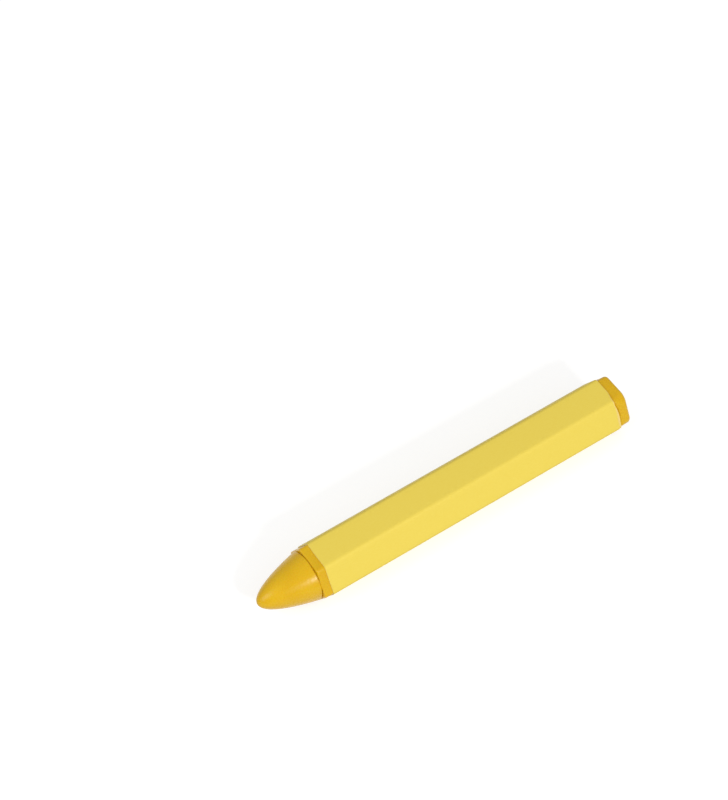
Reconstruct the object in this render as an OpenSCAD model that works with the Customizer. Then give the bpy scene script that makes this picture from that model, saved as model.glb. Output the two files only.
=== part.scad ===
// Tire marking crayon: a six-sided stick of hard wax with a blunt round nose,
// in a paper wrapper that leaves the nose, a short collar and the butt bare.
//
// The crayon lies on one of its flats. Its length runs along X with the nose
// towards -X, +Z is up, and the origin is under the middle of the crayon,
// on the surface that it lies on. All sizes are in millimetres.

/* [Wax stick] */
// Distance across the flats of the bare collar next to the nose
collar_flats = 11.6; // [9:0.1:16]
// Radius that the six long edges of the wax are rounded to
long_edge_r = 0.85; // [0.4:0.05:1.5]
// Length of the bare collar between the nose and the wrapper
collar_length = 1.9; // [1.2:0.1:6]
// Radius of the collar's front edge
collar_edge_r = 0.35; // [0.1:0.05:0.8]
// How far each flat draws in between the collar and the butt
body_draft = 0.15; // [0:0.05:0.4]
// Length of the bare butt behind the wrapper
butt_length = 2.9; // [1.5:0.1:8]
// Radius of the butt's end edge
butt_edge_r = 0.8; // [0.2:0.05:1.2]
// Radius that the long edges grow to at the end of the bare butt
butt_corner_r = 2.2; // [0.8:0.1:3.5]

/* [Nose] */
// Length of the nose from the collar's face to its tip
nose_length = 12.5; // [6:0.1:25]
// Width of the step round the nose's base, measured at the flats
nose_step = 0.15; // [0.05:0.05:1.5]
// Fullness of the nose: 1 is a parabola, 2 is half an ellipse
nose_fullness = 1.06; // [0.9:0.01:2]
// Width of the fine groove between the nose and the collar
groove_width = 0.25; // [0.15:0.05:0.8]
// Depth of the groove below the nose's base
groove_depth = 0.3; // [0.1:0.05:0.8]

/* [Paper wrapper] */
// Length of the wrapper along the crayon
wrapper_length = 75.8; // [40:0.1:120]
// Thickness of one turn of the paper
paper_thickness = 0.08; // [0.05:0.01:0.2]
// Room between the collar's size and the inside of the wrapper
wrapper_clearance = 0.03; // [0.01:0.01:0.1]
// How far the inner turn stands out of the outer one at the butt end
turn_stagger = 0.7; // [0.2:0.1:2]
// Width of the glued lap along the rear lower flat
lap_width = 3.2; // [1:0.1:4]
// Width over which the lap rises from the turn below it
lap_ramp = 0.4; // [0.2:0.05:0.8]

/* [Hidden] */

HEX_SIDES = 6;
HEX_TURN = 360 / HEX_SIDES;    // turn from one flat to the next
CORNER_STEPS = 4;    // straight pieces in each rounded long edge
EDGE_STEPS = 6;      // slices through each rounded end edge
NOSE_STEPS = 28;     // straight pieces along the nose's outline
NOSE_FACES = 96;     // faces round the nose
SLICE = 0.01;        // thickness of the slices that span the body
LEAST_R = 0.05;      // smallest radius left on a long edge near an end
CUT = 1;             // how far a cut runs past what it cuts

wrapper_turns = 2;
turns_height = wrapper_turns * paper_thickness;
wrapper_inner_flats = collar_flats + 2 * wrapper_clearance;
wrapper_inner_r = long_edge_r + wrapper_clearance;
wrapper_outer_flats = wrapper_inner_flats + 2 * turns_height;
nose_base_r = collar_flats / 2 - nose_step;
neck_r = nose_base_r - groove_depth;

crayon_length = nose_length + collar_length + wrapper_length + butt_length;
axis_z = wrapper_outer_flats / 2;
nose_tip_x = -crayon_length / 2;
collar_x = nose_tip_x + nose_length;
wrapper_x = collar_x + collar_length;
wrapper_end_x = wrapper_x + wrapper_length;
butt_end_x = wrapper_end_x + butt_length;
nose_root = 2 * collar_length / 3;    // how deep the nose's neck is rooted in the body

WAX_COLOUR = [0.87, 0.67, 0.12];
PAPER_COLOUR = [0.95, 0.86, 0.38];

// Outline of a hexagon with flats at top and bottom and rounded corners.
function hex_outline(flats, r) = [
    for (corner = [0 : HEX_SIDES - 1])
        for (step = [0 : CORNER_STEPS])
            let (
                middle = HEX_TURN * corner,
                turn = middle + HEX_TURN * (step / CORNER_STEPS - 1 / 2),
                reach = (flats / 2 - r) / cos(HEX_TURN / 2)
            )
            [reach * cos(middle) + r * cos(turn), reach * sin(middle) + r * sin(turn)]
];

// Distance across the flats of the wax, which draws in evenly towards the butt.
function body_flats(x) = collar_flats - 2 * body_draft * (x - collar_x) / (butt_end_x - collar_x);

// Radius of the nose at a share of its length, 0 at the tip and 1 at the base.
function nose_r(share) = nose_base_r * sqrt(1 - pow(1 - share, nose_fullness));

// Puts an outline's extrusion, drawn upwards from 0, along the crayon from x.
module along_crayon(x) {
    translate([x, 0, axis_z]) rotate([90, 0, 90]) children();
}

// A six-sided bar with rounded long edges.
module hex_bar(x, length, flats, r) {
    along_crayon(x) linear_extrude(height = length) polygon(hex_outline(flats, r));
}

// A thin slice of the stick, drawn in on every side.
module wax_slice(x, inset, corner_r) {
    hex_bar(x, SLICE, body_flats(x) - 2 * inset, max(corner_r - inset, LEAST_R));
}

// The six-sided length of the stick, with both end edges rounded over. Its long
// edges stay the same under the wrapper and grow rounder along the bare butt.
module wax_body() {
    hull() {
        for (step = [0 : EDGE_STEPS]) {
            angle = 90 * step / EDGE_STEPS;
            wax_slice(collar_x + collar_edge_r * (1 - sin(angle)),
                      collar_edge_r * (1 - cos(angle)), long_edge_r);
            wax_slice(butt_end_x - SLICE - butt_edge_r * (1 - sin(angle)),
                      butt_edge_r * (1 - cos(angle)), butt_corner_r);
        }
        wax_slice(wrapper_end_x, 0, long_edge_r);
    }
}

// The round nose, with the fine groove and its neck, turned about the axis.
module wax_nose() {
    flank = nose_length - groove_width;
    curve = [
        for (step = [NOSE_STEPS : -1 : 0])
            let (share = 1 - cos(90 * step / NOSE_STEPS))
            [nose_r(share), nose_length - flank * share]
    ];
    translate([collar_x, 0, axis_z]) rotate([0, -90, 0])
        rotate_extrude($fn = NOSE_FACES)
            polygon(concat(
                [[0, -nose_root], [neck_r, -nose_root], [neck_r, groove_width / 2]],
                curve
            ));
}

module wax_stick() {
    color(WAX_COLOUR) union() {
        wax_body();
        wax_nose();
    }
}

// The lap is the wrapper's last, glued-down stretch: one more layer on the
// rear lower flat, with a free edge on its upper side.
module lap_strip() {
    flat_height = wrapper_outer_flats / 2;
    along_crayon(wrapper_x)
        linear_extrude(height = wrapper_length - turn_stagger)
            rotate(-HEX_TURN / 2)
                polygon([
                    [flat_height - paper_thickness, -lap_width / 2],
                    [flat_height, -lap_width / 2],
                    [flat_height + paper_thickness, -lap_width / 2 + lap_ramp],
                    [flat_height + paper_thickness, lap_width / 2],
                    [flat_height - paper_thickness, lap_width / 2]
                ]);
}

module paper_wrapper() {
    color(PAPER_COLOUR) difference() {
        union() {
            hex_bar(wrapper_x, wrapper_length - turn_stagger, wrapper_outer_flats,
                    wrapper_inner_r + turns_height);
            hex_bar(wrapper_x, wrapper_length, wrapper_inner_flats + 2 * paper_thickness,
                    wrapper_inner_r + paper_thickness);
            lap_strip();
        }
        hex_bar(wrapper_x - CUT, wrapper_length + 2 * CUT, wrapper_inner_flats, wrapper_inner_r);
    }
}

wax_stick();
paper_wrapper();
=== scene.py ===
import math

import bmesh
import bpy
from mathutils import Matrix, Vector, noise


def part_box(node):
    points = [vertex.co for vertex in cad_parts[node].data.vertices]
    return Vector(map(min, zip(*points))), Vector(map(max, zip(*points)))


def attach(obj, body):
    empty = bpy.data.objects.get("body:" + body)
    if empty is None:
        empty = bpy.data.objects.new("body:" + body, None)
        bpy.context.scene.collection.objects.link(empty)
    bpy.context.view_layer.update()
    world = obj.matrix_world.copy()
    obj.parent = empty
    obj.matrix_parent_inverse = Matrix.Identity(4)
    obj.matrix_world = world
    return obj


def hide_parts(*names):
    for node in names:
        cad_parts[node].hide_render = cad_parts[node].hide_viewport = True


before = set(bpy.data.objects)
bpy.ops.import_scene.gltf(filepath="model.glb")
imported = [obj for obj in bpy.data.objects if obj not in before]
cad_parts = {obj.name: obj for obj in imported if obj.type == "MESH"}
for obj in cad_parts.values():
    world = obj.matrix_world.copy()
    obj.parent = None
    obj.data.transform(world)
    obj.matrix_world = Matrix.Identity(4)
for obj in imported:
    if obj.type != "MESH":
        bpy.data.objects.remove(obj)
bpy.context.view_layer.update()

mm = 0.001
waxLow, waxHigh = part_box("wax_stick")
paperLow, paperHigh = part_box("paper_wrapper")
axisHeight = (paperLow.z + paperHigh.z) / 2      # the crayon's own axis above the table
hexSides = 6
hexTurn = math.tau / hexSides                    # turn from one flat to the next
print("frame loaded, crayon", round((waxHigh.x - waxLow.x) / mm, 1), "mm long")

# Camera: a long lens well above the crayon, with the nose to the left and towards the lens.
view = {
    "focalPixels": 2490.0,      # focal length in pixels of an 800 pixel long side
    "longSide": 800.0,
    "sensorWidth": 36.0,        # millimetres
    "clipStart": 0.01,
    "clipEnd": 20.0,
    "azimuth": -36.61,          # degrees round from the front
    "elevation": 54.58,         # degrees above the table
    "roll": 2.42,               # degrees, anticlockwise
    "distance": 517.7 * mm,     # along the line of sight
    "aimRight": 10.12 * mm,     # how far the aim lies to the right of the wrapper's nose edge
    "aimUp": 35.53 * mm,        # and how far above it in the picture
}


def makeCamera(v):
    data = bpy.data.cameras.new("crayonCamera")
    data.sensor_width = v["sensorWidth"]
    data.lens = v["focalPixels"] / v["longSide"] * v["sensorWidth"]
    data.clip_start = v["clipStart"]
    data.clip_end = v["clipEnd"]
    camera = bpy.data.objects.new("crayonCamera", data)
    bpy.context.scene.collection.objects.link(camera)
    a = math.radians(v["azimuth"])
    e = math.radians(v["elevation"])
    back = Vector((math.cos(e) * math.sin(a), -math.cos(e) * math.cos(a), math.sin(e)))
    turn = back.to_track_quat("Z", "Y").to_matrix() @ Matrix.Rotation(math.radians(v["roll"]), 3, "Z")
    edge = Vector((paperLow.x, 0.0, axisHeight))
    aim = edge + turn.col[0] * v["aimRight"] + turn.col[1] * v["aimUp"]
    camera.matrix_world = Matrix.Translation(aim + back * v["distance"]) @ turn.to_4x4()
    bpy.context.scene.camera = camera
    return camera


makeCamera(view)
print("camera placed")


# Outlines shared by both pieces.
def hexStations(cornerSteps, flatSteps):
    # Stations round a hexagon with flats above and below, from corner to corner.
    # Each is (first corner, second corner, share between them, outward angle).
    found = []
    for side in range(hexSides):
        for step in range(cornerSteps + 1):
            angle = hexTurn * (side - 0.5 + step / cornerSteps)
            found.append((side, side, 0.0, angle))
        for step in range(1, flatSteps):
            found.append((side, (side + 1) % hexSides, step / flatSteps, hexTurn * (side + 0.5)))
    return found


def hexPoint(station, flats, cornerR):
    # The station's place (y, z from the axis) on a hexagon of that size.
    first, second, share, angle = station
    reach = (flats / 2 - cornerR) / math.cos(hexTurn / 2)
    y = reach * ((1 - share) * math.cos(hexTurn * first) + share * math.cos(hexTurn * second))
    z = reach * ((1 - share) * math.sin(hexTurn * first) + share * math.sin(hexTurn * second))
    return y + cornerR * math.cos(angle), z + cornerR * math.sin(angle)


def roundPoint(station, radius, flats, cornerR):
    # The same station thrown onto a circle, so that round and hexagonal rings join up.
    y, z = hexPoint(station, flats, cornerR)
    size = math.hypot(y, z)
    return y / size * radius, z / size * radius


def turnOf(station):
    # The station's direction from the axis, in degrees from the rear over the top.
    y, z = hexPoint(station, 2.0, 0.0)
    return math.degrees(math.atan2(z, y)) % 360


def hump(value, middle, width):
    # 1 at the middle, falling smoothly to 0 over about that width on both sides
    return math.exp(-((value - middle) / width) ** 2)


# Where the wrapper's cut ends run, which the wax beside them follows too.
cutEnds = {
    # how far each end lies in at each long edge, from the rear one round over the top
    "noseDips": (0.1 * mm, 0.12 * mm, 0.0, 0.05 * mm, 0.1 * mm, 0.1 * mm),
    "buttDips": (0.2 * mm, 0.0, 0.45 * mm, 0.12 * mm, 0.2 * mm, 0.2 * mm),
    "dipWidth": 14.0,            # degrees on both sides of a long edge
}


def dipAt(dips, turn):
    # How far a cut end lies in at that direction round the axis.
    deepest = 0.0
    for corner in range(hexSides + 1):
        cornerTurn = math.degrees(hexTurn * corner)
        deepest = max(deepest, dips[corner % hexSides] * hump(turn, cornerTurn, cutEnds["dipWidth"]))
    return deepest


def loftFaces(ringCount, ringSize):
    quads = []
    for ring in range(ringCount - 1):
        for k in range(ringSize):
            a = ring * ringSize + k
            b = ring * ringSize + (k + 1) % ringSize
            quads.append((a, a + ringSize, b + ringSize, b))
    return quads


def meshPiece(name, points, faces, smoothAngle):
    mesh = bpy.data.meshes.new(name)
    mesh.from_pydata([tuple(p) for p in points], [], faces)
    work = bmesh.new()
    work.from_mesh(mesh)
    bmesh.ops.recalc_face_normals(work, faces=work.faces)
    work.to_mesh(mesh)
    work.free()
    piece = bpy.data.objects.new(name, mesh)
    bpy.context.scene.collection.objects.link(piece)
    mesh.shade_smooth()
    mesh.set_sharp_from_angle(angle=math.radians(smoothAngle))
    return piece


# Wax stick.
wax = {
    "collarLength": 1.9 * mm,     # bare wax between the nose and the wrapper
    "collarEdge": 0.35 * mm,      # rounding of the collar's front edge
    "noseStep": 0.15 * mm,        # the nose's base is this much smaller than the flats
    "noseFullness": 1.06,         # 1 is a parabola, 2 half an ellipse
    "noseRim": 0.08 * mm,         # rounding of the nose's base edge
    "grooveWidth": 0.25 * mm,
    "grooveDepth": 0.3 * mm,
    "grooveFilled": 154.5,        # degrees round the axis where wax fills the groove
    "grooveFilledWidth": 13.0,
    "edgeWhereFilled": 0.5,       # the collar's front edge is this much sharper there
    "longEdge": 0.85 * mm,        # rounding of the six long edges
    "draft": 0.15 * mm,           # each flat draws in this much towards the butt
    "buttEdge": 0.8 * mm,
    # the long edges grow this round along the bare butt, from the rear one round over the top
    "buttCorners": (2.2 * mm, 1.4 * mm, 2.8 * mm, 1.8 * mm, 2.2 * mm, 2.2 * mm),
    "leastEdge": 0.05 * mm,
    "trimDepth": 0.32 * mm,       # the knife that trimmed the wrapper left a line in the wax
    "trimAt": 0.24 * mm,          # this far behind the wrapper's end
    "trimWidth": 0.15 * mm,
    "trimTurn": 141.0,            # degrees round the axis where it is deepest
    "trimSpread": 28.0,
    "castWave": 0.014 * mm,       # height of the slow waves that casting leaves
    "castWaveSize": 3.0 * mm,
    "waveFree": 4.0,              # nearer the axis than this many wave depths there are none
    "followLength": 1.0 * mm,     # the rings beside the wrapper's end follow its cut edge this far
    "trimRings": 6,
    "trimStep": 0.045 * mm,
    "grooveShares": (0.5, 0.8, 1.0),                  # rings across the groove's floor
    "collarShares": (0.4, 0.75),                      # rings across the collar's front face
    "endShares": (0.85, 0.65, 0.45, 0.25, 0.1),       # rings across the butt's end
    "noseRings": 80,
    "bodyRings": 60,
    "edgeRings": 8,
    "cornerSteps": 10,
    "flatSteps": 14,
    "crispAbove": 50,             # degrees between faces that keep a crisp edge
}


def noseRings(w, stations, flats, collarX):
    # From just behind the tip to the bottom of the groove.
    base = flats / 2 - w["noseStep"]
    length = collarX - waxLow.x
    flank = length - w["grooveWidth"]
    rimX = waxLow.x + flank
    rings = []

    def circle(x, radius):
        return [(x, *roundPoint(station, radius, flats, w["longEdge"])) for station in stations]

    for step in range(1, w["noseRings"]):
        share = 1 - math.cos(math.pi / 2 * step / w["noseRings"])
        radius = base * math.sqrt(1 - (1 - share) ** w["noseFullness"])
        rings.append(circle(waxLow.x + flank * share, radius))
    for step in range(w["edgeRings"] + 1):
        angle = math.pi / 2 * step / w["edgeRings"]
        x = rimX + w["noseRim"] * math.sin(angle)
        rings.append(circle(x, base - w["noseRim"] * (1 - math.cos(angle))))
    for share in w["grooveShares"]:
        ring = []
        for station in stations:
            filled = hump(turnOf(station), w["grooveFilled"], w["grooveFilledWidth"])
            depth = w["grooveDepth"] + (w["noseRim"] - w["grooveDepth"]) * filled
            y, z = roundPoint(station, base - depth, flats, w["longEdge"])
            ring.append((collarX - w["grooveWidth"] * (1 - share), y, z))
        rings.append(ring)
    return rings


def collarRings(w, stations, flats, collarX, inner):
    # Out over the collar's front face and round its front edge.
    rings = []

    def edgePoint(station, angle):
        filled = hump(turnOf(station), w["grooveFilled"], w["grooveFilledWidth"])
        edge = w["collarEdge"] * (1 - w["edgeWhereFilled"] * filled)
        inset = edge * (1 - math.sin(angle))
        y, z = hexPoint(station, flats - 2 * inset, max(w["longEdge"] - inset, w["leastEdge"]))
        return collarX + edge * (1 - math.cos(angle)), y, z

    for share in w["collarShares"]:
        ring = []
        for station, (x, y, z) in zip(stations, inner):
            edgeY, edgeZ = edgePoint(station, 0.0)[1:]
            ring.append((collarX, y + (edgeY - y) * share, z + (edgeZ - z) * share))
        rings.append(ring)
    for step in range(w["edgeRings"] + 1):
        angle = math.pi / 2 * step / w["edgeRings"]
        rings.append([edgePoint(station, angle) for station in stations])
    return rings


def bodyRings(w, stations, flats, collarX):
    # The six-sided length, its bare butt and the rounded end.
    start = collarX + w["collarEdge"]
    end = waxHigh.x - w["buttEdge"]
    rings = []

    def hexagon(x, inset):
        past = x - paperHigh.x
        bare = min(1.0, max(0.0, past / (end - paperHigh.x)))
        line = w["trimDepth"] * hump(past, w["trimAt"], w["trimWidth"])
        size = flats - 2 * w["draft"] * (x - collarX) / (waxHigh.x - collarX) - 2 * inset
        ring = []
        for station in stations:
            first, second, share = station[:3]
            turn = turnOf(station)
            grown = (1 - share) * w["buttCorners"][first] + share * w["buttCorners"][second]
            corner = max(w["longEdge"] + (grown - w["longEdge"]) * bare - inset, w["leastEdge"])
            cut = line * hump(turn, w["trimTurn"], w["trimSpread"])
            y, z = hexPoint(station, size - 2 * cut, corner)
            follow = dipAt(cutEnds["buttDips"], turn) * hump(past, 0.0, w["followLength"])
            ring.append((x - follow, y, z))
        return ring

    trimStart = paperHigh.x - w["trimRings"] * w["trimStep"]
    trimEnd = paperHigh.x + 2 * w["trimRings"] * w["trimStep"]
    for step in range(1, w["bodyRings"]):
        rings.append(hexagon(start + (trimStart - start) * step / w["bodyRings"], 0.0))
    for step in range(3 * w["trimRings"]):
        rings.append(hexagon(trimStart + step * w["trimStep"], 0.0))
    for step in range(w["edgeRings"]):
        rings.append(hexagon(trimEnd + (end - trimEnd) * step / w["edgeRings"], 0.0))
    for step in range(w["edgeRings"] + 1):
        angle = math.pi / 2 * step / w["edgeRings"]
        x = end + w["buttEdge"] * math.sin(angle)
        rings.append(hexagon(x, w["buttEdge"] * (1 - math.cos(angle))))
    rim = rings[-1]
    for share in w["endShares"]:
        rings.append([(waxHigh.x, y * share, z * share) for x, y, z in rim])
    return rings


def makeWaxStick(w):
    stations = hexStations(w["cornerSteps"], w["flatSteps"])
    flats = waxHigh.z - waxLow.z
    collarX = paperLow.x - w["collarLength"]
    rings = noseRings(w, stations, flats, collarX)
    rings += collarRings(w, stations, flats, collarX, rings[-1])
    rings += bodyRings(w, stations, flats, collarX)
    points = []
    for x, y, z in [p for ring in rings for p in ring]:
        # slow waves only ever sink the surface, so that the stick stays inside its size
        depth = w["castWave"] * (0.5 + 0.5 * noise.noise(Vector((x, y, z)) / w["castWaveSize"]))
        size = math.hypot(y, z)
        if size > w["waveFree"] * depth:
            y *= 1 - depth / size
            z *= 1 - depth / size
        points.append((x, y, axisHeight + z))
    size = len(stations)
    faces = loftFaces(len(rings), size)
    tip = len(points)
    points.append((waxLow.x, 0.0, axisHeight))
    end = len(points)
    points.append((waxHigh.x, 0.0, axisHeight))
    last = (len(rings) - 1) * size
    for k in range(size):
        faces.append((tip, k, (k + 1) % size))
        faces.append((end, last + (k + 1) % size, last + k))
    return meshPiece("waxStick", points, faces, w["crispAbove"])


# Paper wrapper. Its faces take these material slots.
dyedFace = 0
cutFace = 1
underFace = 2

wrapper = {
    "turns": 2,
    "pitch": 0.08 * mm,            # one turn of paper and its room
    "sheet": 0.076 * mm,           # the paper's own thickness
    "innerEdge": 0.88 * mm,        # inside radius along the long edges
    "stagger": 0.6 * mm,           # inner turn stands out of the outer one at the butt, in front
    "staggerAbove": 0.08 * mm,     # and on the upper flat
    "staggerTurn": 162.0,          # degrees round the axis where it stands out most
    "staggerWidth": 38.0,
    "lapWidth": 3.2 * mm,
    "lapRamp": 0.4 * mm,
    "lapSide": 5,                  # the flat between corners 5 and 0 faces back and down
    "edgeWave": 0.03 * mm,         # how far the cut ends wander along the crayon
    "edgeWaveSize": 2.0 * mm,
    "turnSeed": 20.0 * mm,         # sets each turn's wander apart from the next one's
    "buttSeed": (7.0, 3.0, 1.0),   # and the butt end's from the nose end's
    "noseReach": 3.0 * mm,         # a cut end's shape fades over this length
    "buttReach": 6.0 * mm,
    "bow": 0.012 * mm,             # slow waves of the faces
    "bowSize": 9.0 * mm,
    "bareInside": 1.5 * mm,        # length of the inner turn's end that shows its paler side
    "lengthRings": 150,
    "crowding": 0.85,              # how far the rings crowd towards both cut ends
    "cornerSteps": 8,
    "flatSteps": 10,
    "afterLapSteps": 6,            # steps on the lap's flat, from its ramp to the corner
    "beforeLapSteps": 3,           # from the other corner to the ramp
    "lapSteps": 8,                 # and across the lap itself
    "crispAbove": 40,              # degrees between faces that keep a crisp edge
}


def windPath(w, innerFlats):
    # The sheet's way round the crayon from its hidden inner edge to the glued free edge.
    # Each entry is (station, layers below the sheet).
    stations = hexStations(w["cornerSteps"], w["flatSteps"])
    side = w["lapSide"]
    reach = (innerFlats / 2 - w["innerEdge"]) / math.cos(hexTurn / 2)
    flatLength = 2 * reach * math.sin(hexTurn / 2)
    angle = hexTurn * (side + 0.5)

    def onLapFlat(distance):
        # a station on the lap's flat, at a distance from its middle
        return (side, (side + 1) % hexSides, 0.5 + distance / flatLength, angle)

    lapStart = -w["lapWidth"] / 2
    rampEnd = lapStart + w["lapRamp"]
    freeEdge = w["lapWidth"] / 2
    perSide = w["cornerSteps"] + w["flatSteps"]
    otherSides = stations[:perSide * side + w["cornerSteps"] + 1]
    afterLap = []
    for k in range(w["afterLapSteps"]):
        afterLap.append(onLapFlat(rampEnd + (flatLength / 2 - rampEnd) * k / w["afterLapSteps"]))
    toRamp = []
    for k in range(1, w["beforeLapSteps"] + 1):
        toRamp.append(onLapFlat(-flatLength / 2 + (lapStart + flatLength / 2) * k / w["beforeLapSteps"]))
    path = []
    for turn in range(w["turns"]):
        path += [(station, float(turn)) for station in afterLap + otherSides + toRamp]
    for k in range(w["lapSteps"] + 1):
        path.append((onLapFlat(rampEnd + (freeEdge - rampEnd) * k / w["lapSteps"]), float(w["turns"])))
    return path


def staggerAt(w, layer, turn):
    # How far the outer turn ends before the inner one.
    front = hump(turn, w["staggerTurn"], w["staggerWidth"])
    return (w["staggerAbove"] + (w["stagger"] - w["staggerAbove"]) * front) * min(1.0, max(0.0, layer))


def makeWrapper(w):
    innerFlats = paperHigh.z - paperLow.z - 2 * w["turns"] * w["pitch"]
    path = windPath(w, innerFlats)
    clear = w["pitch"] - w["sheet"]
    length = paperHigh.x - paperLow.x
    shares = []
    for k in range(w["lengthRings"] + 1):
        # rings crowd towards both cut ends
        share = k / w["lengthRings"]
        shares.append(share - math.sin(math.tau * share) / math.tau * w["crowding"])
    points = []
    for share in shares:
        lower, upper = [], []
        for station, layer in path:
            height = layer * w["pitch"] + clear
            y, z = hexPoint(station, innerFlats + 2 * height, w["innerEdge"] + height)
            x = paperLow.x + share * length
            nearNose = hump(share * length, 0.0, w["noseReach"])
            nearButt = hump((1 - share) * length, 0.0, w["buttReach"])
            seed = Vector((y, z, layer * w["turnSeed"])) / w["edgeWaveSize"]
            x += w["edgeWave"] * nearNose * (0.5 + 0.5 * noise.noise(seed))
            x -= w["edgeWave"] * nearButt * (0.5 + 0.5 * noise.noise(seed + Vector(w["buttSeed"])))
            turn = turnOf(station)
            x += nearNose * dipAt(cutEnds["noseDips"], turn)
            x -= nearButt * (dipAt(cutEnds["buttDips"], turn) + staggerAt(w, layer, turn))
            sink = w["bow"] * (0.25 + 0.25 * noise.noise(Vector((x, y, z)) / w["bowSize"]))
            normal = Vector((0.0, math.cos(station[3]), math.sin(station[3])))
            base = Vector((x, y, axisHeight + z)) - normal * sink
            lower.append(base)
            upper.append(base + normal * w["sheet"])
        points += lower + upper[::-1]
    return joinSheet(w, points, path, shares, length)


def joinSheet(w, points, path, shares, length):
    half = len(path)
    size = 2 * half
    count = len(shares)
    faces = loftFaces(count, size)
    materials = [dyedFace] * len(faces)
    for ring in range(count - 1):
        # the sheet's two long cut edges, and the inner turn's end, which shows the paler side
        materials[ring * size + half - 1] = cutFace
        materials[ring * size + size - 1] = cutFace
        if (1 - shares[ring]) * length < w["bareInside"]:
            for k in range(half - 1):
                if path[half - 1 - k][1] == 0.0:
                    materials[ring * size + half + k - 1] = underFace
    for start, flip in ((0, False), ((count - 1) * size, True)):
        for k in range(half - 1):
            quad = (start + k, start + k + 1, start + size - 2 - k, start + size - 1 - k)
            faces.append(quad[::-1] if flip else quad)
            materials.append(cutFace)
    piece = meshPiece("paperWrapper", points, faces, w["crispAbove"])
    return piece, materials


# Materials. A noise's values mostly lie in the first range, and nearly all in the second.
noiseMiddle = (0.35, 0.65)
noiseSpan = (0.3, 0.7)


def startMaterial(name):
    material = bpy.data.materials.new(name)
    material.use_nodes = True
    tree = material.node_tree
    shader = next(n for n in tree.nodes if n.type == "BSDF_PRINCIPLED")
    place = tree.nodes.new("ShaderNodeTexCoord")
    return material, tree, shader, place


def grain(tree, place, size, detail, stretch=(1.0, 1.0, 1.0), roughness=0.5):
    # Noise whose features are about that size, stretched along x, y and z.
    turn = tree.nodes.new("ShaderNodeMapping")
    turn.inputs["Scale"].default_value = [1.0 / s for s in stretch]
    tree.links.new(place.outputs["Object"], turn.inputs["Vector"])
    cloud = tree.nodes.new("ShaderNodeTexNoise")
    cloud.inputs["Scale"].default_value = 1.0 / size
    cloud.inputs["Detail"].default_value = detail
    cloud.inputs["Roughness"].default_value = roughness
    tree.links.new(turn.outputs["Vector"], cloud.inputs["Vector"])
    return cloud.outputs["Fac"]


def spread(tree, source, span, toLow, toHigh):
    ramp = tree.nodes.new("ShaderNodeMapRange")
    ramp.inputs["From Min"].default_value = span[0]
    ramp.inputs["From Max"].default_value = span[1]
    ramp.inputs["To Min"].default_value = toLow
    ramp.inputs["To Max"].default_value = toHigh
    tree.links.new(source, ramp.inputs["Value"])
    return ramp.outputs["Result"]


def blendColours(tree, amount, first, second):
    mix = tree.nodes.new("ShaderNodeMix")
    mix.data_type = "RGBA"
    for socket, value in ((mix.inputs[6], first), (mix.inputs[7], second)):
        if isinstance(value, bpy.types.NodeSocket):
            tree.links.new(value, socket)
        else:
            socket.default_value = (*value, 1.0)
    tree.links.new(amount, mix.inputs[0])
    return mix.outputs[2]


def bumpFrom(tree, source, height, before=None):
    bump = tree.nodes.new("ShaderNodeBump")
    bump.inputs["Strength"].default_value = 1.0
    bump.inputs["Distance"].default_value = height
    tree.links.new(source, bump.inputs["Height"])
    if before is not None:
        tree.links.new(before, bump.inputs["Normal"])
    return bump.outputs["Normal"]


waxLook = {
    "colour": (0.735, 0.446, 0.007),
    "deep": (0.705, 0.415, 0.005),       # slightly richer patches
    "shine": 0.29,                       # specular level
    "roughnessLow": 0.23,
    "roughnessHigh": 0.32,
    "through": 0.10,                     # share of light that enters the wax
    "throughDepth": 0.5 * mm,
    "throughReach": (1.0, 0.55, 0.12),   # how far red, green and blue get, as shares of it
    "patchSize": 5.0 * mm,
    "pitSize": 0.45 * mm,
    "pitHeight": 0.008 * mm,
    "waveSize": 1.3 * mm,
    "waveHeight": 0.032 * mm,
}

paperLook = {
    "colour": (0.820, 0.628, 0.080),
    "pale": (0.835, 0.652, 0.096),       # between the fibres
    # the cut edge's colour is the paper's paler undyed core, made brighter still as a painted highlight of
    # light catching the cut edge
    "paleCoreAndHighlight": (0.900, 0.780, 0.360),       # where the sheet is cut
    "coreShade": 0.9,                    # its darker fibres
    "underside": (0.880, 0.665, 0.190),  # less dye reaches the sheet's other side
    "undersideShade": 0.94,
    "shine": 0.35,
    "roughnessLow": 0.55,
    "roughnessHigh": 0.66,
    "fibreSize": 0.12 * mm,
    "fibreStretch": (6.0, 1.0, 1.0),
    "cloudSize": 2.5 * mm,
    "fibreHeight": 0.004 * mm,
    "cloudHeight": 0.006 * mm,
}


def waxMaterial(look):
    material, tree, shader, place = startMaterial("markingWax")
    patches = grain(tree, place, look["patchSize"], 3.0)
    pits = grain(tree, place, look["pitSize"], 4.0, roughness=0.6)
    waves = grain(tree, place, look["waveSize"], 1.5)
    colour = blendColours(tree, spread(tree, patches, noiseMiddle, 0.0, 1.0), look["deep"], look["colour"])
    tree.links.new(colour, shader.inputs["Base Color"])
    rough = spread(tree, pits, noiseSpan, look["roughnessLow"], look["roughnessHigh"])
    tree.links.new(rough, shader.inputs["Roughness"])
    slow = bumpFrom(tree, waves, look["waveHeight"])
    tree.links.new(bumpFrom(tree, pits, look["pitHeight"], slow), shader.inputs["Normal"])
    shader.inputs["Subsurface Weight"].default_value = look["through"]
    shader.inputs["Subsurface Radius"].default_value = look["throughReach"]
    shader.inputs["Subsurface Scale"].default_value = look["throughDepth"]
    shader.inputs["Specular IOR Level"].default_value = look["shine"]
    return material


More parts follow.
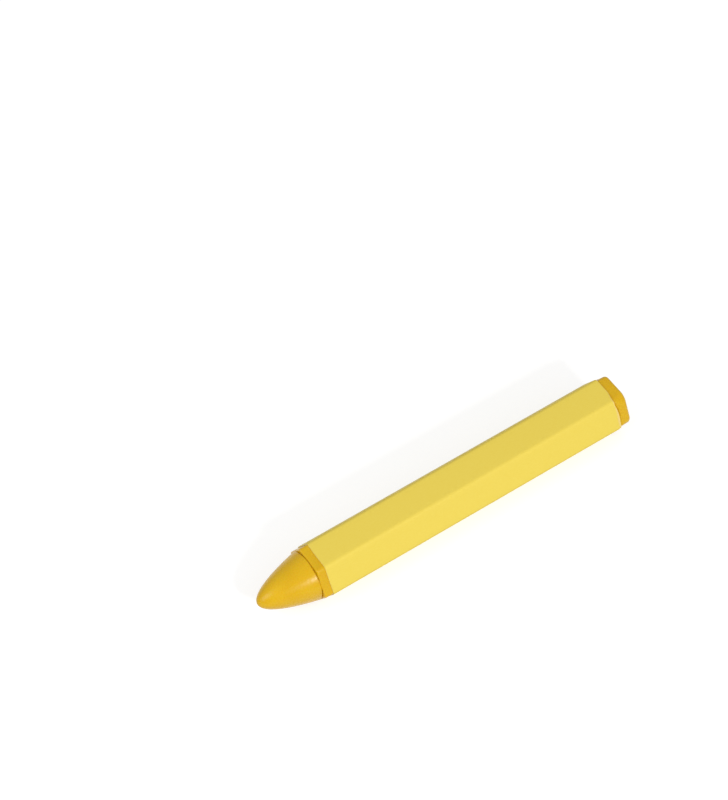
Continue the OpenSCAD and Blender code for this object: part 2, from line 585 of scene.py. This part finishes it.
def paperMaterial(look, name, base, pale):
    material, tree, shader, place = startMaterial(name)
    fibres = grain(tree, place, look["fibreSize"], 3.0, look["fibreStretch"])
    clouds = grain(tree, place, look["cloudSize"], 3.0)
    colour = blendColours(tree, spread(tree, fibres, noiseMiddle, 0.0, 1.0), base, pale)
    tree.links.new(colour, shader.inputs["Base Color"])
    rough = spread(tree, clouds, noiseSpan, look["roughnessLow"], look["roughnessHigh"])
    tree.links.new(rough, shader.inputs["Roughness"])
    slow = bumpFrom(tree, clouds, look["cloudHeight"])
    tree.links.new(bumpFrom(tree, fibres, look["fibreHeight"], slow), shader.inputs["Normal"])
    shader.inputs["Specular IOR Level"].default_value = look["shine"]
    return material


def shade(colour, amount):
    return tuple(amount * part for part in colour)


waxStick = makeWaxStick(wax)
waxStick.data.materials.append(waxMaterial(waxLook))
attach(waxStick, "root")
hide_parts("wax_stick")
print("wax stick cast,", len(waxStick.data.polygons), "faces")

paperWrapper, faceMaterials = makeWrapper(wrapper)
# the cut-edge colours below are the paler core plus a painted highlight along the cut edges
paleCoreAndHighlight = paperLook["paleCoreAndHighlight"]
paleCoreAndHighlightDark = shade(paleCoreAndHighlight, paperLook["coreShade"])
underside = paperLook["underside"]
undersideDark = shade(underside, paperLook["undersideShade"])
for material in (
    paperMaterial(paperLook, "dyedPaper", paperLook["colour"], paperLook["pale"]),
    paperMaterial(paperLook, "paperCutEdgeWithHighlight", paleCoreAndHighlightDark, paleCoreAndHighlight),
    paperMaterial(paperLook, "paperUnderside", undersideDark, underside),
):
    paperWrapper.data.materials.append(material)
for face, index in zip(paperWrapper.data.polygons, faceMaterials):
    face.material_index = index
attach(paperWrapper, "root")
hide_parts("paper_wrapper")
print("wrapper wound,", len(paperWrapper.data.polygons), "faces")

# Table and light.
studio = {
    "tableSize": 3.0,
    "tableDrop": 0.05 * mm,       # the table lies just clear of the crayon
    "tableTone": 0.55,            # how much light the table gives back
    "tableWhite": 0.60,           # its own white in the camera's sight
    "worldStrength": 0.540,
    "softboxPower": 3.00,
    "softboxSize": (0.141, 0.111),  # across and along its height
    "softboxFrom": (-0.02, -0.82, 0.57),
    "softboxDistance": 0.80,
    "sideboxPower": 1.75,
    "sideboxSize": (0.45, 0.45),
    "sideboxFrom": (-0.80, 0.00, 0.60),
    "sideboxDistance": 0.80,
}


def makeTable(s):
    half = s["tableSize"] / 2
    corners = [(-half, -half, 0.0), (half, -half, 0.0), (half, half, 0.0), (-half, half, 0.0)]
    mesh = bpy.data.meshes.new("table")
    mesh.from_pydata(corners, [], [(0, 1, 2, 3)])
    table = bpy.data.objects.new("table", mesh)
    bpy.context.scene.collection.objects.link(table)
    table.location.z = -s["tableDrop"]
    material = bpy.data.materials.new("paleTable")
    material.use_nodes = True
    tree = material.node_tree
    tree.nodes.clear()
    seen = tree.nodes.new("ShaderNodeLightPath")
    either = tree.nodes.new("ShaderNodeMath")
    either.operation = "MAXIMUM"
    tree.links.new(seen.outputs["Is Camera Ray"], either.inputs[0])
    tree.links.new(seen.outputs["Is Glossy Ray"], either.inputs[1])
    every = tree.nodes.new("ShaderNodeMath")
    every.operation = "MAXIMUM"
    tree.links.new(either.outputs[0], every.inputs[0])
    tree.links.new(seen.outputs["Is Transmission Ray"], every.inputs[1])
    strength = tree.nodes.new("ShaderNodeMath")
    strength.operation = "MULTIPLY"
    strength.inputs[1].default_value = s["tableWhite"]
    tree.links.new(every.outputs[0], strength.inputs[0])
    matte = tree.nodes.new("ShaderNodeBsdfDiffuse")
    matte.inputs["Color"].default_value = (s["tableTone"],) * 3 + (1.0,)
    glow = tree.nodes.new("ShaderNodeEmission")
    tree.links.new(strength.outputs[0], glow.inputs["Strength"])
    both = tree.nodes.new("ShaderNodeAddShader")
    out = tree.nodes.new("ShaderNodeOutputMaterial")
    tree.links.new(matte.outputs[0], both.inputs[0])
    tree.links.new(glow.outputs[0], both.inputs[1])
    tree.links.new(both.outputs[0], out.inputs["Surface"])
    table.data.materials.append(material)


def makeLight(s, name):
    data = bpy.data.lights.new(name, "AREA")
    data.shape = "RECTANGLE"
    data.size, data.size_y = s[name + "Size"]
    data.energy = s[name + "Power"]
    light = bpy.data.objects.new(name, data)
    bpy.context.scene.collection.objects.link(light)
    toward = Vector(s[name + "From"]).normalized()
    light.location = Vector((0.0, 0.0, axisHeight)) + toward * s[name + "Distance"]
    light.rotation_euler = toward.to_track_quat("Z", "Y").to_euler()


def makeWorld(s):
    world = bpy.data.worlds.new("paleRoom")
    bpy.context.scene.world = world
    world.use_nodes = True
    tree = world.node_tree
    tree.nodes.clear()
    seen = tree.nodes.new("ShaderNodeLightPath")
    room = tree.nodes.new("ShaderNodeBackground")
    room.inputs["Color"].default_value = (1.0, 1.0, 1.0, 1.0)
    room.inputs["Strength"].default_value = s["worldStrength"]
    white = tree.nodes.new("ShaderNodeBackground")
    white.inputs["Color"].default_value = (1.0, 1.0, 1.0, 1.0)
    white.inputs["Strength"].default_value = 1.0
    pick = tree.nodes.new("ShaderNodeMixShader")
    out = tree.nodes.new("ShaderNodeOutputWorld")
    tree.links.new(seen.outputs["Is Camera Ray"], pick.inputs[0])
    tree.links.new(room.outputs[0], pick.inputs[1])
    tree.links.new(white.outputs[0], pick.inputs[2])
    tree.links.new(pick.outputs[0], out.inputs["Surface"])


makeTable(studio)
makeWorld(studio)
makeLight(studio, "softbox")
makeLight(studio, "sidebox")
bpy.context.scene.view_settings.view_transform = "Standard"
print("table and lights placed")
